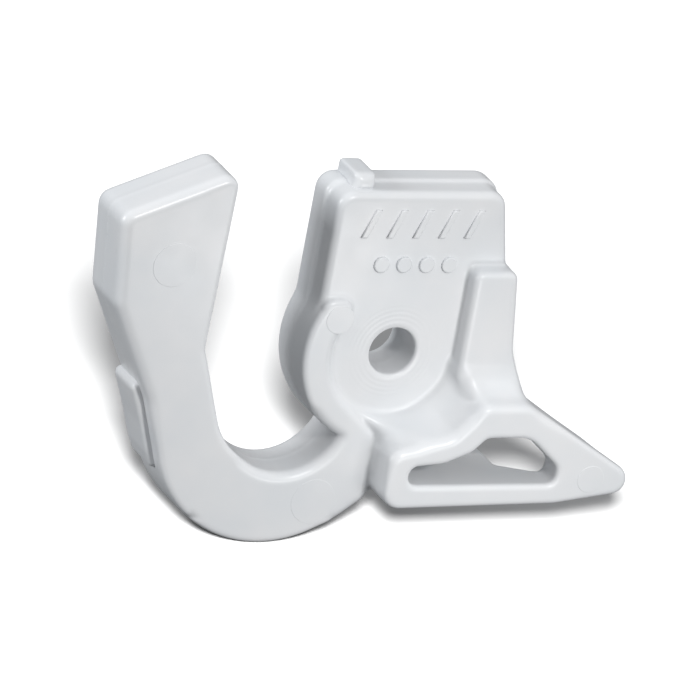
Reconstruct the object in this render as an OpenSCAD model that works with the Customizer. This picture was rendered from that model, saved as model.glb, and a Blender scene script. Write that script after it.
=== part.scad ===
// Stair gate latch: a one-piece moulded hook, pivot hub and thumb loop.
// The moulding is drawn as named regions that meet face to face.
// Millimetres. +Z is up, +X points to the tip of the loop and the front faces -Y.
// The origin is the centre of the pivot bore, half way along it, on the parting plane.

/* [Moulding] */
// Thickness of the hub and the head block
hub_t = 6.2; // [5:0.1:8]
// How far the hook and the hub rim stand in front of the hub face
rim_rise = 0.8; // [0.4:0.1:1.5]
// How far the thumb post stands in front of the hub face
post_rise = 2; // [1.2:0.1:3]
// How far the pull loop stands in front of the hub face
loop_rise = 5; // [4:0.1:6]
// Step between the two mould halves around the head block
parting_step = 0.25; // [0.05:0.05:0.4]

/* [Pivot hub] */
// Diameter of the pivot bore
bore_d = 5; // [4:0.1:6]
// Lead-in chamfer at each end of the bore
bore_chamfer = 0.15; // [0.05:0.05:0.4]
// Radius of the round boss about the bore
boss_r = 10.1; // [9.8:0.1:10.4]
// Radius of the recess inside the raised rim
recess_r = 6.7; // [6:0.1:7.2]

/* [Hook] */
// Radius of the seat that the hook closes round
seat_r = 6.4; // [6:0.1:6.8]
// Outer radius of the hook bend
bend_r = 13.1; // [12.6:0.1:13.4]
// How far the side tab stands off the arm
tab_rise = 0.9; // [0.5:0.1:1.4]

/* [Pull loop] */
// Rise of the drafted wall between the recess and the loop, for each millimetre outwards
wall_slope = 1.8; // [1.4:0.1:2.4]

/* [Head block] */
// Height of the block's top above the bore centre
head_top = 17.2; // [15:0.1:19]
// Distance from the bore centre to the block's left wall
head_left = 8.9; // [8.4:0.1:9.6]

/* [Hidden] */
$fn = 96;

latch_white = [0.88, 0.89, 0.9];
corner_steps = 6;
overrun = 1;

// Depth levels, front to back.
back_y = hub_t / 2;
face_y = -hub_t / 2;
rim_y = face_y - rim_rise;
post_y = face_y - post_rise;
loop_y = face_y - loop_rise;

// Heights and places where one region ends and the next one starts.
hook_top = -6;
head_foot = 4.6;
rim_top = 5.9;
loop_left = -0.5;
web_right = 14;
foot_top = -0.9;
tip_start = 21.5;

// Centres of the hook's round back and of its round seat.
bend_c = [-11.5, -7.5];
seat_c = [-10.4, -6.65];

// The arm's inner wall: knee, then heel, then tangent to the seat.
arm_knee = [-21, 0.5];
arm_heel = [-17.35, -9.6];
heel_v = arm_heel - seat_c;
seat_start = 360 + atan2(heel_v[1], heel_v[0]) + acos(seat_r / norm(heel_v));

// Angles where other regions cut the boss and the recess.
boss_low = 180 + asin(-hook_top / boss_r);
boss_high = 180 - asin(head_foot / boss_r);
recess_low = 180 + asin(-hook_top / recess_r);
recess_end = 270 - asin(-loop_left / recess_r);

// Angle on the boss where it meets the round seat.
seat_d = norm(seat_c);
boss_cusp = 360 + atan2(seat_c[1], seat_c[0])
    + acos((boss_r ^ 2 + seat_d ^ 2 - seat_r ^ 2) / (2 * boss_r * seat_d));
cusp = boss_r * [cos(boss_cusp), sin(boss_cusp)];
seat_end = 360 + atan2(cusp[1] - seat_c[1], cusp[0] - seat_c[0]);

function arc(c, r, a0, a1, n = 16) = [
    for (i = [0 : n]) c + r * [cos(a0 + (a1 - a0) * i / n), sin(a0 + (a1 - a0) * i / n)]
];

function unit(v) = v / norm(v);

// Arc of radius r in place of the corner q between its neighbours p and s.
function corner(p, q, s, r) =
    let (
        u = unit(p - q),
        w = unit(s - q),
        half = acos(u * w) / 2,
        c = q + unit(u + w) * r / sin(half),
        d0 = q + u * r / tan(half) - c,
        d1 = q + w * r / tan(half) - c,
        a0 = atan2(d0[1], d0[0]),
        sweep = (atan2(d1[1], d1[0]) - a0 + 540) % 360 - 180
    )
    arc(c, r, a0, a0 + sweep, corner_steps);

function flat(v) = [v[0], v[1]];

// Closed outline from [x, z, corner radius] rows.
function rounded(v) = [
    for (i = [0 : len(v) - 1])
        let (n = len(v), p = v[(i + n - 1) % n], q = v[i], s = v[(i + 1) % n])
            each (q[2] == 0 ? [flat(q)] : corner(flat(p), flat(q), flat(s), q[2]))
];

// Plate with an outline in x and z, from y0 at the back to y1 at the front.
module plate(y0, y1) {
    translate([0, y0, 0])
        rotate([90, 0, 0])
            linear_extrude(y0 - y1)
                children();
}

// Everything between two heights and to the right of x0, used to cut regions.
module band(x0, x1, z0, z1) {
    translate([x0, loop_y - overrun, z0])
        cube([x1 - x0, hub_t + loop_rise + 2 * overrun, z1 - z0]);
}

// Outline of the whole hook: the upright arm, the round bend and the stretch under the loop.
module hook_outline() {
    seat_p = seat_c + seat_r * [cos(seat_start), sin(seat_start)];
    polygon(concat(
        rounded([
            [arm_knee[0], arm_knee[1], 0],
            [-20.5, 19.75, 1.3],
            [-32.75, 14.85, 1.5],
            [-31.75, 5.2, 2.5],
            [-26.2, -5.3, 8],
            [bend_c[0] + bend_r * cos(196), bend_c[1] + bend_r * sin(196), 0]
        ]),
        arc(bend_c, bend_r, 196, 298, 32),
        [[-2.8, -17.8], [-0.9, -16.3], [1.1, -14.6], [1.1, hook_top]],
        arc([0, 0], boss_r, boss_low, boss_cusp, 4),
        arc(seat_c, seat_r, seat_end, seat_start, 24),
        corner(seat_p, arm_heel, arm_knee, 8)
    ));
}

// Face of the hub that lies below the level of the hook and the rim.
module recess_outline() {
    polygon(concat(
        arc([0, 0], recess_r, 144, recess_end, 24),
        [[loop_left, -20], [20, -20], [20, 12], [-5.42, 12]]
    ));
}

module rim_outline() {
    polygon(concat(
        arc([0, 0], boss_r, boss_low, boss_high, 20),
        corner([-head_left, head_foot], [-head_left, rim_top], [-5.45, rim_top], 1.2),
        corner([-head_left, rim_top], [-5.45, rim_top], [-5.42, 3.94], 1.4),
        arc([0, 0], recess_r, 144, recess_low, 24)
    ));
}

// Outline of the hub below the head block, with its flared right side.
module hub_outline() {
    polygon(concat(
        arc([0, 0], boss_r, boss_low, boss_high, 24),
        [[11.9, head_foot]],
        corner([11.9, head_foot], [12.6, 0.8], [14, -3], 6),
        [[web_right, -3.4], [web_right, hook_top]]
    ));
}

// Outline of the head block; grow moves its top and left walls outwards.
module head_outline(grow = 0) {
    polygon(rounded([
        [-head_left - grow, head_foot, 0],
        [-head_left - grow, head_top + grow, 1.8],
        [9.45 + grow, head_top + grow, 1.8],
        [11.9, head_foot, 0]
    ]));
}

module post_outline() {
    polygon(rounded([
        [6.7, 9.4, 0.9],
        [11.45, 9.4, 0.9],
        [12.5, 0.8, 6],
        [14.8, -4.8, 0],
        [6.1, -8, 0],
        [6.7, -2, 0]
    ]));
}

// Outline of the wedge-shaped loop, from its square left end to its round tip.
module loop_outline() {
    polygon(rounded([
        [loop_left, -15.2, 1.8],
        [18.6, -14.6, 3],
        [29.2, -12.9, 1.55],
        [14.5, -4.1, 3],
        [8.8, -4.1, 1.8],
        [5.7, -7.7, 2.5],
        [loop_left, -8.9, 1.6]
    ]));
}

module slot_outline() {
    polygon(rounded([
        [1.9, -12.55, 0.95],
        [18.2, -12.4, 0.9],
        [18.3, -10.6, 1.4],
        [14.6, -7.4, 3],
        [9.9, -7.45, 1],
        [8.4, -9, 1.2],
        [5.6, -10.2, 2.5],
        [1.9, -10.6, 0.95]
    ]));
}

// Ground that the drafted wall between the recess and the loop may cover.
module wall_outline() {
    polygon([
        [loop_left, -6],
        [loop_left, -10],
        [6, -9],
        [9.6, -5],
        [8.8, -4.1],
        [7.2, foot_top],
        [5, foot_top]
    ]);
}

// Drafted wall that rises from the round recess to the loop.
module recess_wall() {
    difference() {
        plate(face_y, loop_y) wall_outline();
        translate([0, face_y + overrun, 0])
            rotate([90, 0, 0])
                cylinder(
                    h = loop_rise + 2 * overrun,
                    r1 = recess_r - overrun / wall_slope,
                    r2 = recess_r + (loop_rise + overrun) / wall_slope
                );
    }
}

// Space behind the overhanging right part of the loop.
module overhang_relief() {
    translate([0, 0, -20])
        linear_extrude(30)
            polygon([
                [web_right, back_y + overrun],
                [web_right, face_y + 0.5],
                [16.1, face_y - 0.5],
                [18, face_y - 1.4],
                [21.6, face_y - 1.8],
                [22.6, face_y - 3.1],
                [30, face_y - 4.1],
                [30, back_y + overrun]
            ]);
}

module hook_arm() {
    color(latch_white)
        intersection() {
            plate(back_y, rim_y) hook_outline();
            band(-40, -15, hook_top, 30);
        }
}

module hook_bend() {
    color(latch_white)
        difference() {
            intersection() {
                plate(back_y, rim_y) hook_outline();
                band(-40, loop_left, -30, hook_top);
            }
            plate(face_y, rim_y - overrun) recess_outline();
        }
}

// Strip along the lower outside of the arm, with a bead at its upper end.
module arm_side_tab() {
    strip_front = -2.1;
    color(latch_white)
        difference() {
            union() {
                plate(back_y, strip_front)
                    polygon([
                        [-25.5, -3.9],
                        [-26.5 - tab_rise, -4.4],
                        [-24.9 - tab_rise, -8.3],
                        [-23.8 - tab_rise, -11.4],
                        [-23.1 - tab_rise, -13.1],
                        [-22, -13.1]
                    ]);
                plate(back_y, strip_front) translate([-26.4, -4.4]) circle(r = 0.2 + tab_rise);
            }
            plate(back_y + overrun, rim_y - overrun) hook_outline();
        }
}

module pivot_hub() {
    bore_r = bore_d / 2;
    cone_h = bore_chamfer + overrun;
    cone_r = bore_r + cone_h;
    color(latch_white)
        difference() {
            plate(back_y, face_y) hub_outline();
            plate(back_y + overrun, face_y - overrun) circle(r = bore_r);
            for (side = [-1, 1])
                translate([0, side * (back_y - bore_chamfer), 0])
                    rotate([-side * 90, 0, 0])
                        cylinder(h = cone_h, r1 = bore_r, r2 = cone_r);
        }
}

module hub_rim() {
    color(latch_white)
        plate(face_y, rim_y) rim_outline();
}

module head_block() {
    color(latch_white)
        difference() {
            union() {
                plate(back_y, 0) head_outline(parting_step);
                plate(0, face_y) head_outline();
            }
            head_rib();
        }
}

// Small locating rib that stands on the back half of the block's top.
module head_rib() {
    color(latch_white)
        translate([-7, -2, head_top - 0.6])
            cube([2.4, back_y + 2, 2.1]);
}

// Two rows of plain raised marks on the face of the head block.
module face_marks() {
    mark_h = 0.25;
    color(latch_white) {
        for (i = [0 : 4])
            plate(face_y, face_y - mark_h)
                translate([-5 + 2.85 * i, 13.9])
                    polygon([[-0.95, -1.5], [-0.25, -1.5], [0.95, 1.5], [0.25, 1.5]]);
        for (i = [0 : 3])
            plate(face_y, face_y - mark_h)
                translate([-3.1 + 2.5 * i, 9.5])
                    circle(r = 0.85);
    }
}

module thumb_post() {
    color(latch_white)
        intersection() {
            plate(face_y, post_y) post_outline();
            band(0, 20, foot_top, 12);
        }
}

// Foot of the post, with a hollow ramp that runs forward to the front of the loop.
module post_foot() {
    ramp_r = post_y - loop_y;
    color(latch_white)
        difference() {
            intersection() {
                plate(face_y, loop_y) post_outline();
                rotate([90, 0, 90])
                    linear_extrude(20)
                        polygon(concat(
                            arc([loop_y, foot_top], ramp_r, 0, -90),
                            [[loop_y, -9], [face_y, -9], [face_y, foot_top]]
                        ));
            }
            plate(face_y + overrun, loop_y - overrun) {
                loop_outline();
                wall_outline();
            }
        }
}

module loop_body() {
    difference() {
        plate(face_y, loop_y) loop_outline();
        plate(face_y + overrun, loop_y - overrun) slot_outline();
        overhang_relief();
    }
}

module pull_loop() {
    color(latch_white)
        union() {
            intersection() {
                loop_body();
                band(-20, tip_start, -30, 10);
            }
            recess_wall();
        }
}

module loop_tip() {
    color(latch_white)
        intersection() {
            loop_body();
            band(tip_start, 40, -30, 10);
        }
}

// Body behind the loop, which carries the slot on through to the back.
module loop_web() {
    web_foot = -14.2;
    color(latch_white)
        difference() {
            union() {
                intersection() {
                    plate(back_y, face_y) hook_outline();
                    band(loop_left, web_right, -30, hook_top);
                }
                plate(back_y, face_y)
                    polygon([
                        [loop_left, hook_top],
                        [loop_left, web_foot],
                        [web_right, web_foot],
                        [web_right, hook_top]
                    ]);
            }
            plate(back_y + overrun, face_y - overrun) slot_outline();
        }
}

hook_arm();
hook_bend();
arm_side_tab();
pivot_hub();
hub_rim();
head_block();
head_rib();
face_marks();
thumb_post();
post_foot();
pull_loop();
loop_tip();
loop_web();
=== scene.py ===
"""A stair gate latch: one white acetal moulding, shown as the named regions of the CAD model.

The moulding is a signed distance field, in millimetres, of rounded plates that run into each other
through moulded fillets. The field is meshed once and split along the CAD regions' borders.
"""
import math

import bmesh
import bpy
import numpy as np
from mathutils import Matrix, Vector


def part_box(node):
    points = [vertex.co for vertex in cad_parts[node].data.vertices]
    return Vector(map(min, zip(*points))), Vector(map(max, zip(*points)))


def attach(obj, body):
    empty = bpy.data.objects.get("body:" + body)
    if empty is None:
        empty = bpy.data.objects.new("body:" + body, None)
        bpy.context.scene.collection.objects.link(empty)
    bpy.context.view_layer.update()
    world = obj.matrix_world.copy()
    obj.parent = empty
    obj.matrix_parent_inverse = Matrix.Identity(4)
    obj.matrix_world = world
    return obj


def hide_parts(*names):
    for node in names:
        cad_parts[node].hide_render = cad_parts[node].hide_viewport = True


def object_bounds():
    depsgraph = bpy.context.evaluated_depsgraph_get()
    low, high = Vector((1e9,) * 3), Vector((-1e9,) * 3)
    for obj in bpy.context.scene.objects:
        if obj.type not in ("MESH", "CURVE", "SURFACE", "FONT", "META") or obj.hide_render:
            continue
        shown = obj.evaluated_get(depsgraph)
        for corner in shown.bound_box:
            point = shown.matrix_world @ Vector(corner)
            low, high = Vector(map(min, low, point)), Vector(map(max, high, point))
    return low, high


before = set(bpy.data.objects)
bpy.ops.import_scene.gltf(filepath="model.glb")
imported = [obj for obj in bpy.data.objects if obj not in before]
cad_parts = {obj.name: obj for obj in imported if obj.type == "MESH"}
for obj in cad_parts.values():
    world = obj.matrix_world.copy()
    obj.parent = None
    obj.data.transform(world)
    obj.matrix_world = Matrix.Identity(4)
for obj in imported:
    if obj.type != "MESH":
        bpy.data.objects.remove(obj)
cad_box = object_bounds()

MM = 0.001
STEP = 0.18      # grid spacing of the distance field


def node_box(node):
    """Lowest and highest corner of a CAD node in millimetres."""
    low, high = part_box(node)
    return np.array(low) / MM, np.array(high) / MM


# ---- driving dimensions: from the frame where a node's box gives them, in millimetres ----

HUB_LOW, HUB_HIGH = node_box("pivot_hub")
BACK = HUB_HIGH[1]                       # back face of the moulding
FACE = HUB_LOW[1]                        # face of the hub and the head block
RIM = node_box("hub_rim")[0][1]          # face of the rim and the whole hook
POST = node_box("thumb_post")[0][1]      # face of the thumb post
LOOP = node_box("pull_loop")[0][1]       # face of the pull loop
HEAD_LOW, HEAD_HIGH = node_box("head_block")
PARTING = 0.25                           # step between the mould halves at the head block
HEAD_LEFT = HEAD_LOW[0] + PARTING
HEAD_TOP = HEAD_HIGH[2] - PARTING
HEAD_FOOT = HEAD_LOW[2]
BOSS_R = -HUB_LOW[0]
RECESS_R = 6.7                           # round recess about the bore
RIM_EDGE_R = 7.4                         # where the rim's inner edge reaches the rim's face
RIM_RUN = 228.9                          # angle where that edge leaves the round for the loop
BORE_R = 2.5
BEND_C = np.array([-11.5, -7.5])         # centre of the hook's round back
BEND_R = 13.1
SEAT_C = np.array([-10.4, -6.65])        # centre of the hook's round seat
SEAT_R = 6.4
ARM_KNEE = np.array([-21.0, 0.5])        # the arm's inner wall: knee, heel, then tangent to the seat
ARM_HEEL = np.array([-17.35, -9.6])
RIM_TOP = node_box("hub_rim")[1][2]
TIP_START = node_box("loop_tip")[0][0]
FOOT_TOP = node_box("thumb_post")[0][2]
HOOK_CUT = node_box("hook_arm")[0][2]

EDGE = 1.0                               # moulded radii: the rounder front edges
FINE_EDGE = 0.5                          # and the finer ones
BACK_EDGE = 0.8
HUB_EDGE = 0.75
POST_EDGE = 0.6
FOOT_EDGE = 1.1
SLOT_EDGE = 0.45
RELIEF_EDGE = 0.4
BORE_EDGE = 0.2
RECESS_EDGE = 0.2
WALL_EDGE = 0.15
SHOULDER_EDGE = 0.3
CRISP = 0.1                              # edges that the mould leaves sharp
WALL_FILLET = 1.6                        # fillets: the drafted wall into the loop
FOOT_FILLET = 0.6
HEAD_FILLET = 0.5
LOOP_FILLET = 0.3
POST_FILLET = 0.12
RECESS_STEP = 0.3                        # upright foot of the wall round the recess
PARTING_LINE = (0.05, 0.16)              # height and half width of the line on the parting plane

WALL_TURN = [-72, -48, -20]              # drafted wall: angles about the bore, and how far it comes
WALL_SLOPE = [1.8, 1.0, 0.85]            # forward there for each millimetre out from the recess
RUN_SLOPE = 1.3                          # and at most for each millimetre in from the rim's edge
RELIEF_X = [14.0, 16.1, 18.0, 21.6, 22.8, 30.0]       # back of the overhanging loop: x, and how far
RELIEF_Y = [0.5, -0.5, -1.4, -1.8, -3.0, -4.1]        # behind the hub's face it lies there
RIM_LEAN = 0.85                          # factor from depth to distance where the rim's front slants,
RELIEF_LEAN = 0.88                       # where the loop's back does,
RUN_LEAN = 0.61                          # and in from the rim's edge

BARS, BAR_FIRST, BAR_PITCH = 5, (-5, 13.9), 2.85      # marks on the head block: centres in x and z
DOTS, DOT_FIRST, DOT_PITCH = 4, (-3.1, 9.5), 2.5
DOT_R = 0.85

ARM_CUT = -15                            # borders between regions that no node's box gives
LOOP_CUT = -0.7
LOOP_TOP = -3.9


# ---- outlines in x and z ----

def arc(c, r, a0, a1, n=24):
    a = np.radians(np.linspace(a0, a1, n + 1))
    return [np.array([c[0] + r * math.cos(t), c[1] + r * math.sin(t)]) for t in a]


def corner(p, q, s, r, n=8):
    """Arc of radius r in place of the corner q between its neighbours p and s."""
    u = (p - q) / np.linalg.norm(p - q)
    w = (s - q) / np.linalg.norm(s - q)
    half = math.acos(float(u @ w)) / 2
    c = q + (u + w) / np.linalg.norm(u + w) * r / math.sin(half)
    d0 = q + u * r / math.tan(half) - c
    d1 = q + w * r / math.tan(half) - c
    a0 = math.degrees(math.atan2(d0[1], d0[0]))
    sweep = (math.degrees(math.atan2(d1[1], d1[0])) - a0 + 540) % 360 - 180
    return arc(c, r, a0, a0 + sweep, n)


def rounded(rows):
    """Closed outline from (x, z, corner radius) rows."""
    points = []
    for i, row in enumerate(rows):
        p, q, s = (np.array(rows[j % len(rows)][:2], float) for j in (i - 1, i, i + 1))
        points += corner(p, q, s, row[2]) if row[2] else [q]
    return points


def hook_outline():
    """The arm, the bend and the seat, which runs from its cusp with the boss to a tangent at the heel."""
    heel = ARM_HEEL - SEAT_C
    start = 360 + math.degrees(math.atan2(heel[1], heel[0]) + math.acos(SEAT_R / np.linalg.norm(heel)))
    gap = float(np.linalg.norm(SEAT_C))
    cusp_turn = math.acos((BOSS_R**2 + gap**2 - SEAT_R**2) / (2 * BOSS_R * gap))
    cusp_angle = 360 + math.degrees(math.atan2(SEAT_C[1], SEAT_C[0]) + cusp_turn)
    cusp = BOSS_R * np.array([math.cos(math.radians(cusp_angle)), math.sin(math.radians(cusp_angle))])
    end = 360 + math.degrees(math.atan2(*(cusp - SEAT_C)[::-1]))
    back = arc(BEND_C, BEND_R, 196, 298)
    seat = arc(SEAT_C, SEAT_R, end, start, 32)
    return (
        rounded([
            (*ARM_KNEE, 0), (-20.5, 19.75, 1.3), (-32.75, 14.85, 1.5),
            (-31.75, 5.2, 2.5), (-26.2, -5.3, 8), (*back[0], 0),
        ])
        + back
        + [np.array(p) for p in ((-2.8, -17.8), (-0.9, -16.3), (1.1, -14.6), (1.1, -4.0), (-4.0, -4.0))]
        + arc((0, 0), BOSS_R, 210, cusp_angle, 8)
        + seat
        + corner(seat[-1], ARM_HEEL, ARM_KNEE, 8)
    )


def rim_outline():
    """The boss's left side up to the rim's round end, closed behind the recess."""
    high = 180 - math.degrees(math.asin(HEAD_FOOT / BOSS_R))
    return (
        arc((0, 0), BOSS_R, 225, high)
        + rounded([(HEAD_LEFT, HEAD_FOOT, 0), (HEAD_LEFT, RIM_TOP, 1.3), (-5.4, RIM_TOP, 1.6), (-5.4, 2, 0)])
        + [np.array([0.0, 0.0]), np.array([0.0, -9.0])]
    )


def recess_outline():
    """Where the hook's and the rim's plate gives way to the hub, the loop and the block."""
    return arc((0, 0), RECESS_R, 144, 262) + [
        np.array(p, float) for p in ((1.5, -9.5), (-0.4, -12), (-0.2, -25), (30, -25), (30, 25), (-5.42, 25))
    ]


def shoulder_outline():
    """Ground that the drafted wall between the recess and the loop may cover."""
    return [np.array(p, float) for p in (
        (-5.6, -4.0), (-0.9, -8.95), (-0.2, -12), (9.6, -11),
        (9.6, -5), (8.8, -4.1), (7.3, -0.9), (0, -0.9),
    )]


def head_outline(grow=0.0):
    return rounded([
        (HEAD_LEFT - grow, 0, 0),
        (HEAD_LEFT - grow, HEAD_TOP + grow, 1.8),
        (9.45 + grow, HEAD_TOP + grow, 1.8),
        (10.98 + grow, 9.4, 0),
        (10.6, HEAD_FOOT, 0),
        (10.0, 0, 0),
    ])


def body_outline():
    """Right side of the hub and the web behind the loop."""
    return rounded([
        (-4, 3, 0), (10.4, 6, 0), (11.2, 0.8, 4), (14.0, -4.2, 1.5), (14.0, -14.5, 0.8), (-4, -14.5, 0),
    ])


def post_outline():
    return rounded([
        (6.7, 9.4, 0.9), (11.45, 9.4, 0.9), (12.5, 0.8, 6), (14.8, -4.8, 0), (8.8, -5.5, 0), (6.7, -2, 0),
    ])


def foot_outline():
    """Ground of the hollow ramp that leads from the post to the loop."""
    return rounded([
        (6.9, 1, 0), (12.5, 0.8, 6), (14.8, -4.8, 0), (14.5, -7, 0),
        (8.8, -7, 0), (8.6, -4.1, 0), (7.1, -1.5, 3),
    ])


def loop_outline():
    return rounded([
        (-0.5, -15.2, 1.8), (18.6, -14.6, 3), (29.2, -12.9, 1.55), (14.5, -4.1, 3),
        (8.8, -4.1, 1.8), (5.7, -7.7, 2.5), (-0.5, -8.9, 1.6),
    ])


def slot_outline():
    return rounded([
        (1.9, -12.55, 0.95), (18.2, -12.4, 0.9), (18.3, -10.6, 1.4), (14.6, -7.4, 3),
        (9.9, -7.45, 1), (8.4, -9, 1.2), (5.6, -10.2, 2.5), (1.9, -10.6, 0.95),
    ])


def tab_outline():
    return rounded([
        (-25.0, -3.4, 0), (-27.7, -4.0, 0.7), (-25.9, -8.3, 4),
        (-24.75, -11.4, 4), (-23.9, -13.1, 0.2), (-21.8, -13.1, 0),
    ])


# ---- the distance field ----

class Grid:
    """Even grid round the CAD model, with room for the mesh to close."""

    def __init__(self):
        low = np.array(cad_box[0]) / MM - 5 * STEP
        high = np.array(cad_box[1]) / MM + 5 * STEP
        self.low = low
        self.n = np.ceil((high - low) / STEP).astype(int) + 1
        self.x, self.y, self.z = (low[i] + STEP * np.arange(self.n[i]) for i in range(3))

    def column(self):
        return self.y[None, :, None]


grid = Grid()


def outline_distance(points):
    """Signed distance from a closed outline over the grid's x and z, negative inside."""
    px, pz = np.meshgrid(grid.x, grid.z, indexing="ij")
    best = np.full(px.shape, np.inf)
    inside = np.zeros(px.shape, bool)
    for a, b in zip(points, points[1:] + points[:1]):
        ex, ez = b - a
        length = ex * ex + ez * ez
        if length < 1e-12:
            continue
        s = np.clip(((px - a[0]) * ex + (pz - a[1]) * ez) / length, 0, 1)
        best = np.minimum(best, (px - a[0] - s * ex) ** 2 + (pz - a[1] - s * ez) ** 2)
        crosses = (a[1] > pz) != (b[1] > pz)
        if ez:
            inside ^= crosses & (px < a[0] + (pz - a[1]) * ex / ez)
    distance = np.sqrt(best)
    return np.where(inside, -distance, distance).astype(np.float32)


def both(a, b, r):
    """Intersection of two fields, with edges of radius r."""
    return np.minimum(np.maximum(a, b), -r) + np.hypot(np.maximum(a + r, 0), np.maximum(b + r, 0))


def either(a, b, r):
    """Union of two fields, with fillets of radius r."""
    return np.maximum(np.minimum(a, b), r) - np.hypot(np.maximum(r - a, 0), np.maximum(r - b, 0))


def plate(distance, front, edge):
    """An outline's field carried from the depth front to the back, with a front edge of that radius."""
    y = grid.column()
    field = both(distance[:, None, :], front - y, edge)
    return both(field, y - BACK, BACK_EDGE)


def ramp(value, start, end):
    """0 up to start, 1 from end on, and even in between."""
    return np.clip((value - start) / (end - start), 0, 1)


def rim_front(radius):
    """Depth of the rim's face, falling to the hub's at the recess, and how far in from its edge."""
    x, z = grid.x[:, None], grid.z[None, :]
    run = math.radians(RIM_RUN)
    along = x * math.cos(run) + z * math.sin(run)
    past = (-x * math.sin(run) + z * math.cos(run)) > 0
    inner = np.maximum(radius - RECESS_R, 0)
    outer = np.maximum(RIM_EDGE_R - np.where(past, along, radius), 0)
    return FACE + (RIM - FACE) * inner / np.maximum(inner + outer, 1e-6), outer


def base_field(radius, post):
    """The hub, the web behind the loop, the ground of the post and the head block with its ledge."""
    boss = np.maximum(radius - BOSS_R, grid.z[None, :] - HEAD_FOOT - 1)
    body = np.minimum(boss, outline_distance(body_outline()))
    body = either(body, outline_distance(head_outline()), HEAD_FILLET)
    body = np.minimum(body, post)
    ledge = plate(outline_distance(head_outline(PARTING)), 0.0, CRISP)
    return np.minimum(plate(body.astype(np.float32), FACE, HUB_EDGE), ledge)


def hook_field(front):
    """The hook and the rim. Their front edge is rounder on the arm's outside and top and in the bend."""
    y = grid.column()
    x = grid.x[:, None, None]
    z = grid.z[None, None, :]
    hook = np.minimum(outline_distance(hook_outline()), outline_distance(rim_outline()))[:, None, :]
    outside = ramp(x + 2.5 * ramp(z, -4, -8), -20.5, -24.5)
    edge = FINE_EDGE + (EDGE - FINE_EDGE) * outside
    seat = EDGE * np.clip((-z - 6) / 3 + (x + 11) / 4, 0, 1)
    edge = np.where((x > -19.5) & (z > -18), np.maximum(edge, seat), edge)
    edge = np.maximum(edge, EDGE * ramp(z - 0.35 * (x + 27), 15.7, 17.2))
    lean = np.where(front[:, None, :] > RIM, RIM_LEAN, 1)
    hook = both(hook, (front[:, None, :] - y) * lean, edge)
    hook = both(hook, y - BACK, BACK_EDGE)
    recess = both(outline_distance(recess_outline())[:, None, :], y - FACE, CRISP)
    return both(hook, -recess, RECESS_EDGE)


def wall_field(radius, run_off):
    """The drafted wall from the round recess to the loop, which eases off towards the post."""
    y = grid.column()
    turn = np.degrees(np.arctan2(grid.z[None, :], grid.x[:, None]))[:, None, :]
    slope = np.interp(turn, WALL_TURN, WALL_SLOPE)
    wall = (RECESS_R - radius)[:, None, :]
    wall = both(wall, (wall + (FACE - RECESS_STEP - y) / slope) / np.hypot(1, 1 / slope), WALL_EDGE)
    wall = both(wall, ((FACE - y) - RUN_SLOPE * run_off[:, None, :]) * RUN_LEAN, EDGE)
    return both(wall, outline_distance(shoulder_outline())[:, None, :], SHOULDER_EDGE)


def loop_field(wall):
    """The loop with the post's hollow foot and the drafted wall, relieved at the back on the right."""
    y = grid.column()
    x = grid.x[:, None, None]
    z = grid.z[None, None, :]
    hollow = (POST - LOOP) - np.hypot(y - LOOP, z - FOOT_TOP)
    foot = both(outline_distance(foot_outline())[:, None, :], hollow, FOOT_EDGE)
    foot = both(foot, z - FOOT_TOP, CRISP)
    loop = outline_distance(loop_outline()).astype(float)[:, None, :]
    loop = either(loop, foot, FOOT_FILLET)
    loop = either(loop, wall, WALL_FILLET)
    lip = ramp(z, -12.5, -9.5) * ramp(x, 19, 15)
    loop = both(loop, LOOP - y, FINE_EDGE + (EDGE - FINE_EDGE) * lip)
    back = np.interp(grid.x, RELIEF_X, [FACE + rise for rise in RELIEF_Y])
    return both(loop, (y - back[:, None, None]) * RELIEF_LEAN, RELIEF_EDGE)


def moulding_field():
    """The whole moulding: negative inside, positive outside."""
    y = grid.column()
    radius = np.hypot(grid.x[:, None], grid.z[None, :])
    front, run_off = rim_front(radius)
    post = outline_distance(post_outline())
    raised = both(post[:, None, :], POST - y, POST_EDGE)
    raised = np.maximum(raised, y - FACE - 2)
    field = either(base_field(radius, post), raised, POST_FILLET)
    field = either(field, loop_field(wall_field(radius, run_off)), LOOP_FILLET)
    field = np.minimum(field, hook_field(front))
    field = both(field, -outline_distance(slot_outline())[:, None, :], SLOT_EDGE)
    field = both(field, BORE_R - radius[:, None, :], BORE_EDGE)
    height, width = PARTING_LINE
    return (field - height * np.exp(-(y / width) ** 2)).astype(np.float32)


def soften(field, passes=2):
    """Takes the last sharpness off every crease."""
    for _ in range(passes):
        for axis in range(3):
            padded = np.pad(field, [(1, 1) if i == axis else (0, 0) for i in range(3)], mode="edge")
            n = field.shape[axis]
            take = [np.take(padded, range(s, s + n), axis) for s in range(3)]
            field = (take[0] + 2 * take[1] + take[2]) / 4
    return field


def sample(field, points):
    """Trilinear value of the field at points, in millimetres."""
    q = (points - grid.low) / STEP
    i = np.clip(np.floor(q).astype(int), 0, grid.n - 2)
    f = q - i
    value = np.zeros(len(points))
    for dx, dy, dz in np.ndindex(2, 2, 2):
        w = np.abs(1 - dx - f[:, 0]) * np.abs(1 - dy - f[:, 1]) * np.abs(1 - dz - f[:, 2])
        value += w * field[i[:, 0] + dx, i[:, 1] + dy, i[:, 2] + dz]
    return value


def normals_at(field, points):
    e = 0.6 * STEP
    grad = np.stack(
        [sample(field, points + e * axis) - sample(field, points - e * axis) for axis in np.eye(3)], axis=1
    )
    return grad / np.maximum(np.linalg.norm(grad, axis=1, keepdims=True), 1e-9)


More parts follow.
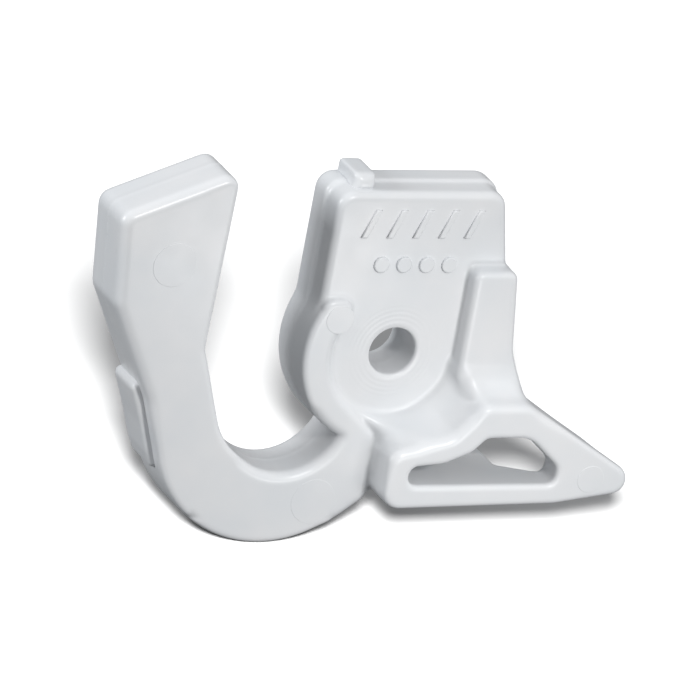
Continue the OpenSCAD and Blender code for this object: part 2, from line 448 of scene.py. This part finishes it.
def surface(field):
    """Vertices and quads of the field's zero level."""
    inside = field < 0
    nx, ny, nz = (n - 1 for n in field.shape)
    count = np.zeros((nx, ny, nz), np.int8)
    for dx, dy, dz in np.ndindex(2, 2, 2):
        count += inside[dx:nx + dx, dy:ny + dy, dz:nz + dz]
    cells = np.argwhere((count > 0) & (count < 8))
    index = np.full(count.shape, -1, np.int64)
    index[tuple(cells.T)] = np.arange(len(cells))
    total = np.zeros((len(cells), 3))
    hits = np.zeros(len(cells))
    eye = np.eye(3, dtype=int)
    for axis in range(3):
        u, v = (axis + 1) % 3, (axis + 2) % 3
        for du in (0, 1):
            for dv in (0, 1):
                a = cells + du * eye[u] + dv * eye[v]
                b = a + eye[axis]
                fa, fb = field[tuple(a.T)], field[tuple(b.T)]
                hit = (fa < 0) != (fb < 0)
                s = np.where(hit, fa / np.where(hit, fa - fb, 1), 0)
                total += np.where(hit[:, None], a + s[:, None] * eye[axis], 0)
                hits += hit
    points = grid.low + STEP * total / hits[:, None]
    quads = []
    for axis in range(3):
        u, v = (axis + 1) % 3, (axis + 2) % 3
        a = tuple(slice(None, -1) if i == axis else slice(1, -1) for i in range(3))
        b = tuple(slice(1, None) if i == axis else slice(1, -1) for i in range(3))
        for into in (True, False):
            edges = np.argwhere((inside[a] == into) & (inside[b] != into))
            edges[:, u] += 1
            edges[:, v] += 1
            ring = [edges - eye[u] - eye[v], edges - eye[v], edges, edges - eye[u]]
            ids = np.stack([index[tuple(r.T)] for r in ring], axis=1)
            quads.append(ids if into else ids[:, ::-1])
    for _ in range(3):                   # steps onto the zero level, along the field's slope
        step = sample(field, points)[:, None] * normals_at(field, points)
        points = points - np.clip(step, -0.5 * STEP, 0.5 * STEP)
    return points, np.concatenate(quads)


# ---- materials ----

def link(tree, a, a_out, b, b_in):
    tree.links.new(a.outputs[a_out], b.inputs[b_in])


def latch_plastic():
    """White acetal: cool white, faintly mottled, semi-gloss, with a fine moulded skin."""
    mat = bpy.data.materials.new("latch_plastic")
    mat.use_nodes = True
    tree = mat.node_tree
    shader = tree.nodes["Principled BSDF"]
    shader.inputs["IOR"].default_value = 1.48
    coord = tree.nodes.new("ShaderNodeTexCoord")

    cloud = tree.nodes.new("ShaderNodeTexNoise")
    cloud.inputs["Scale"].default_value = 140
    cloud.inputs["Detail"].default_value = 3
    link(tree, coord, "Object", cloud, "Vector")
    tint = tree.nodes.new("ShaderNodeValToRGB")
    tint.color_ramp.elements[0].position = 0.3
    tint.color_ramp.elements[0].color = (0.735, 0.755, 0.775, 1)
    tint.color_ramp.elements[1].position = 0.72
    tint.color_ramp.elements[1].color = (0.79, 0.795, 0.805, 1)
    link(tree, cloud, "Fac", tint, "Fac")
    link(tree, tint, "Color", shader, "Base Color")

    wear = tree.nodes.new("ShaderNodeTexNoise")
    wear.inputs["Scale"].default_value = 420
    wear.inputs["Detail"].default_value = 4
    link(tree, coord, "Object", wear, "Vector")
    rough = tree.nodes.new("ShaderNodeMapRange")
    rough.inputs["To Min"].default_value = 0.24
    rough.inputs["To Max"].default_value = 0.4
    link(tree, wear, "Fac", rough, "Value")
    link(tree, rough, "Result", shader, "Roughness")

    skin = tree.nodes.new("ShaderNodeBump")
    skin.inputs["Strength"].default_value = 0.12
    skin.inputs["Distance"].default_value = 0.00003
    link(tree, wear, "Fac", skin, "Height")
    flow = tree.nodes.new("ShaderNodeBump")
    flow.inputs["Strength"].default_value = 0.25
    flow.inputs["Distance"].default_value = 0.00012
    link(tree, cloud, "Fac", flow, "Height")
    link(tree, skin, "Normal", flow, "Normal")
    link(tree, turned_rings(tree, coord, flow), "Normal", shader, "Normal")
    return mat


def turned_rings(tree, coord, under):
    """Faint rings that the turned core pin's face leaves round the bore."""
    across = tree.nodes.new("ShaderNodeVectorMath")
    across.operation = "MULTIPLY"
    across.inputs[1].default_value = (1, 0, 1)
    link(tree, coord, "Object", across, 0)
    radius = tree.nodes.new("ShaderNodeVectorMath")
    radius.operation = "LENGTH"
    link(tree, across, "Vector", radius, 0)
    phase = tree.nodes.new("ShaderNodeMath")
    phase.operation = "MULTIPLY"
    phase.inputs[1].default_value = 2 * math.pi / (0.5 * MM)
    link(tree, radius, "Value", phase, 0)
    wave = tree.nodes.new("ShaderNodeMath")
    wave.operation = "SINE"
    link(tree, phase, "Value", wave, 0)
    fade = tree.nodes.new("ShaderNodeMapRange")
    fade.inputs["From Min"].default_value = 5.6 * MM
    fade.inputs["From Max"].default_value = 4.2 * MM
    link(tree, radius, "Value", fade, "Value")
    height = tree.nodes.new("ShaderNodeMath")
    height.operation = "MULTIPLY"
    link(tree, wave, "Value", height, 0)
    link(tree, fade, "Result", height, 1)
    rings = tree.nodes.new("ShaderNodeBump")
    rings.inputs["Strength"].default_value = 0.3
    rings.inputs["Distance"].default_value = 0.000012
    link(tree, height, "Value", rings, "Height")
    link(tree, under, "Normal", rings, "Normal")
    return rings


def floor_paint():
    mat = bpy.data.materials.new("floor_paint")
    mat.use_nodes = True
    shader = mat.node_tree.nodes["Principled BSDF"]
    shader.inputs["Base Color"].default_value = (0.45, 0.45, 0.45, 1)
    shader.inputs["Roughness"].default_value = 0.9
    return mat


# ---- pieces ----

def closed_mesh(points, quads):
    mesh = bpy.data.meshes.new("moulding")
    mesh.from_pydata((points * MM).tolist(), [], quads.tolist())
    return mesh


def cut_region(source, cuts):
    """A copy of the closed bmesh, cut by (point, outward normal) planes and closed at each of them."""
    bm = source.copy()
    for point, normal in cuts:
        cut = bmesh.ops.bisect_plane(
            bm, geom=bm.verts[:] + bm.edges[:] + bm.faces[:], dist=1e-8,
            plane_co=Vector(point) * MM, plane_no=Vector(normal), clear_outer=True,
        )
        rim = [e for e in cut["geom_cut"] if isinstance(e, bmesh.types.BMEdge) and e.is_boundary]
        if rim:
            filled = bmesh.ops.triangle_fill(bm, edges=rim, use_beauty=False, normal=Vector(normal))
            for face in filled["geom"]:
                if isinstance(face, bmesh.types.BMFace):
                    face.material_index = 1          # tells add_region which faces are caps
                    face.normal_update()
                    if face.normal.dot(Vector(normal)) < 0:
                        face.normal_flip()
    return bm


def add_piece(name, mesh, material, node=None):
    piece = bpy.data.objects.new(name, mesh)
    bpy.context.scene.collection.objects.link(piece)
    mesh.materials.clear()
    mesh.materials.append(material)
    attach(piece, "root")
    if node:
        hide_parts(node)


def add_region(name, source, cuts, field, material):
    """One region of the moulding, shaded by the field so that no border shows."""
    bm = cut_region(source, cuts)
    mesh = bpy.data.meshes.new(name)
    bm.to_mesh(mesh)
    bm.free()
    capped = np.zeros(len(mesh.polygons), np.int32)
    mesh.polygons.foreach_get("material_index", capped)
    mesh.polygons.foreach_set("material_index", np.zeros(len(capped), np.int32))
    points = np.zeros(3 * len(mesh.vertices))
    mesh.vertices.foreach_get("co", points)
    smooth = normals_at(field, points.reshape(-1, 3) / MM)
    flat = np.zeros(3 * len(mesh.polygons))
    mesh.polygons.foreach_get("normal", flat)
    corners = np.zeros(len(mesh.loops), np.int32)
    mesh.loops.foreach_get("vertex_index", corners)
    sizes = np.zeros(len(mesh.polygons), np.int32)
    mesh.polygons.foreach_get("loop_total", sizes)
    owner = np.repeat(np.arange(len(sizes)), sizes)
    normals = np.where(capped[owner][:, None] == 1, flat.reshape(-1, 3)[owner], smooth[corners])
    mesh.polygons.foreach_set("use_smooth", np.ones(len(sizes), bool))
    mesh.normals_split_custom_set(normals)
    add_piece(name, mesh, material, name)


def moulding_regions(material):
    field = soften(moulding_field())
    points, quads = surface(field)
    whole = bmesh.new()
    whole.from_mesh(closed_mesh(points, quads))
    skin = FACE - 0.03                   # just in front of the hub's face
    left, right, up, down = (-1, 0, 0), (1, 0, 0), (0, 0, 1), (0, 0, -1)
    front, back = (0, -1, 0), (0, 1, 0)
    arm_right, loop_left = (ARM_CUT, 0, 0), (LOOP_CUT, 0, 0)
    hook_top, head_foot, foot_top = (0, 0, HOOK_CUT), (0, 0, HEAD_FOOT), (0, 0, FOOT_TOP)
    loop_top, tip, face = (0, 0, LOOP_TOP), (TIP_START, 0, 0), (0, skin, 0)
    regions = {
        "hook_arm": [(arm_right, right), (hook_top, down)],
        "hook_bend": [(hook_top, up), (loop_left, right)],
        "pivot_hub": [(arm_right, left), (hook_top, down), (head_foot, up), (face, front)],
        "hub_rim": [(arm_right, left), (loop_left, right), (hook_top, down), (face, back)],
        "head_block": [(arm_right, left), (head_foot, down), (face, front)],
        "thumb_post": [(loop_left, left), (foot_top, down), (face, back)],
        "post_foot": [(loop_left, left), (foot_top, up), (loop_top, down), (tip, right), (face, back)],
        "pull_loop": [(loop_left, left), (loop_top, up), (tip, right), (face, back)],
        "loop_tip": [(tip, left)],
        "loop_web": [(loop_left, left), (hook_top, up), (face, front), (tip, right)],
    }
    for name, cuts in regions.items():
        add_region(name, whole, cuts, field, material)
    whole.free()


def bevelled_solid(outline, front, back, bevel, segments=4):
    """A closed plate in x and z from an outline, with its front edge rounded."""
    bm = bmesh.new()
    low = [bm.verts.new((x * MM, back * MM, z * MM)) for x, z in outline]
    high = [bm.verts.new((x * MM, front * MM, z * MM)) for x, z in outline]
    bm.faces.new(low)
    top = bm.faces.new(high[::-1])
    n = len(outline)
    for i in range(n):
        bm.faces.new((low[i], high[i], high[(i + 1) % n], low[(i + 1) % n]))
    bmesh.ops.recalc_face_normals(bm, faces=bm.faces[:])
    bmesh.ops.bevel(bm, geom=top.edges[:], offset=bevel * MM, segments=segments, affect="EDGES", profile=0.5)
    return bm


def smooth_piece(name, bm, material, node=None):
    """A bevelled solid with flat faces towards the front and smooth bevels."""
    mesh = bpy.data.meshes.new(name)
    bm.normal_update()
    for face in bm.faces:
        face.smooth = abs(face.normal.y) < 0.999
    bm.to_mesh(mesh)
    bm.free()
    add_piece(name, mesh, material, node)


def field_piece(name, field, material):
    """A small closed piece meshed from a field of its own."""
    field = soften(field.astype(np.float32))
    points, quads = surface(field)
    mesh = closed_mesh(points, quads)
    mesh.polygons.foreach_set("use_smooth", np.ones(len(quads), bool))
    mesh.normals_split_custom_set_from_vertices(normals_at(field, points))
    add_piece(name, mesh, material, name)


def join_solids(solids):
    total = bmesh.new()
    for bm in solids:
        part = bpy.data.meshes.new("part")
        bm.to_mesh(part)
        bm.free()
        total.from_mesh(part)
        bpy.data.meshes.remove(part)
    return total


def face_marks(material):
    """Two rows of plain raised marks on the head block."""
    front, root = node_box("face_marks")[0][1], FACE + 0.2
    slanted = np.array([[-0.95, -1.5], [-0.25, -1.5], [0.95, 1.5], [0.25, 1.5]])
    solids = []
    for i in range(BARS):
        bar = list(slanted + (BAR_FIRST[0] + BAR_PITCH * i, BAR_FIRST[1]))
        solids.append(bevelled_solid(bar, front, root, 0.14))
    for i in range(DOTS):
        dot = arc((DOT_FIRST[0] + DOT_PITCH * i, DOT_FIRST[1]), DOT_R, 0, 360, 32)[:-1]
        solids.append(bevelled_solid(dot, front, root, 0.16))
    smooth_piece("face_marks", join_solids(solids), material, "face_marks")


def ejector_marks(material):
    """Faint raised discs that the mould's ejector pins leave."""
    discs = [
        ((-26.2, 9.7), 2.35, RIM, 0.035),
        ((-6.9, 3.8), 1.5, RIM, 0.035),
        ((-6.2, -16.0), 2.4, RIM, 0.02),
        ((22.1, -11.8), 1.45, LOOP, 0.035),
    ]
    solids = []
    for centre, radius, level, height in discs:
        ring = arc(centre, radius, 0, 360, 64)[:-1]
        solids.append(bevelled_solid(ring, level - height, level + 0.1, 0.8 * height, 1))
    smooth_piece("ejector_marks", join_solids(solids), material)


def head_rib(material):
    low, high = node_box("head_rib")
    corners = ((low[0], low[2]), (high[0], low[2]), (high[0], high[2]), (low[0], high[2]))
    distance = outline_distance([np.array(p) for p in corners])
    y = grid.column()
    setback = 0.25                       # of the rib's back from the moulding's
    rib = both(distance[:, None, :], low[1] - y, 0.9)
    rib = both(rib, y - BACK + setback, 0.4)
    field_piece("head_rib", rib, material)


def arm_side_tab(material):
    low = node_box("arm_side_tab")[0]
    y = grid.column()
    setback = 0.1                        # of the tab's back from the moulding's
    tab = both(outline_distance(tab_outline())[:, None, :], low[1] - y, 0.35)
    tab = both(tab, y - BACK + setback, 0.5)
    field_piece("arm_side_tab", tab, material)


# ---- stage ----

def add_camera():
    """At the photograph's angle, turned a little clockwise, with a long lens."""
    right = Vector((0.904, -0.395, 0.1715)).normalized()
    back = right.cross(Vector((0, 0.395, 0.916))).normalized()
    up = back.cross(right)
    distance, field_width = 1.8, 0.070   # metres to the target, and across the picture there
    target = Vector((-0.0048, -0.0031, 0.0002))
    data = bpy.data.cameras.new("camera")
    data.sensor_width = 36
    data.lens = 36 * distance / field_width
    data.clip_start = 0.01
    data.clip_end = 20
    camera = bpy.data.objects.new("camera", data)
    turn = Matrix((right, up, back)).transposed().to_4x4()
    camera.matrix_world = Matrix.Translation(target + back * distance) @ turn
    bpy.context.scene.collection.objects.link(camera)
    bpy.context.scene.camera = camera


def add_floor():
    bm = bmesh.new()
    bmesh.ops.create_grid(bm, x_segments=8, y_segments=8, size=4)
    mesh = bpy.data.meshes.new("floor")
    bm.to_mesh(mesh)
    bm.free()
    floor = bpy.data.objects.new("floor", mesh)
    floor.location = (0, 0, cad_box[0][2] - 0.2 * MM)
    mesh.materials.append(floor_paint())
    floor.visible_diffuse = False
    floor.visible_glossy = False
    bpy.context.scene.collection.objects.link(floor)
    return floor


def add_light(name, place, size, power, tint, only):
    """An area light aimed at the origin; it lights only the objects in the collection given."""
    data = bpy.data.lights.new(name, "AREA")
    data.shape = "RECTANGLE"
    data.size, data.size_y = size
    data.energy = power
    data.color = tint
    lamp = bpy.data.objects.new(name, data)
    lamp.location = place
    lamp.rotation_euler = (-Vector(place)).to_track_quat("-Z", "Y").to_euler()
    bpy.context.scene.collection.objects.link(lamp)
    lamp.light_linking.receiver_collection = only


def sky(world):
    """A soft dome: bright overhead and in front, dim below and behind."""
    world.use_nodes = True
    tree = world.node_tree
    back = tree.nodes["Background"]
    coord = tree.nodes.new("ShaderNodeTexCoord")
    lean = tree.nodes.new("ShaderNodeVectorMath")
    lean.operation = "DOT_PRODUCT"
    lean.inputs[1].default_value = (0, -0.25, 0.968)
    shades = tree.nodes.new("ShaderNodeValToRGB")
    link(tree, coord, "Generated", lean, 0)
    link(tree, lean, "Value", shades, "Fac")
    link(tree, shades, "Color", back, "Color")
    low, high = shades.color_ramp.elements
    low.position, low.color = 0.0, (0.12, 0.124, 0.128, 1)
    high.position, high.color = 0.9, (0.74, 0.75, 0.765, 1)
    back.inputs["Strength"].default_value = 1.0


def group(name, members):
    made = bpy.data.collections.new(name)
    for member in members:
        made.objects.link(member)
    return made


def add_lights(floor):
    pieces = [o for o in bpy.data.objects if o.type == "MESH" and o is not floor]
    part, ground = group("lit_part", pieces), group("lit_floor", [floor])
    add_light("key", (0.06, -0.52, 0.3), (0.07, 0.07), 1.5, (1, 0.995, 0.985), part)
    add_light("left_fill", (-0.6, 0.08, 0.2), (0.2, 0.2), 2.1, (0.96, 0.98, 1), part)
    add_light("low_fill", (0.012, -0.06, -0.012), (0.03, 0.01), 0.009, (1, 1, 1), part)
    add_light("floor_light", (-0.8, -1.543, 0.86), (0.22, 0.22), 205, (1, 1, 1), ground)
    world = bpy.data.worlds.new("world")
    sky(world)
    bpy.context.scene.world = world
    bpy.context.scene.view_settings.view_transform = "Standard"


add_camera()
floor = add_floor()
plastic = latch_plastic()
moulding_regions(plastic)
face_marks(plastic)
ejector_marks(plastic)
head_rib(plastic)
arm_side_tab(plastic)
add_lights(floor)
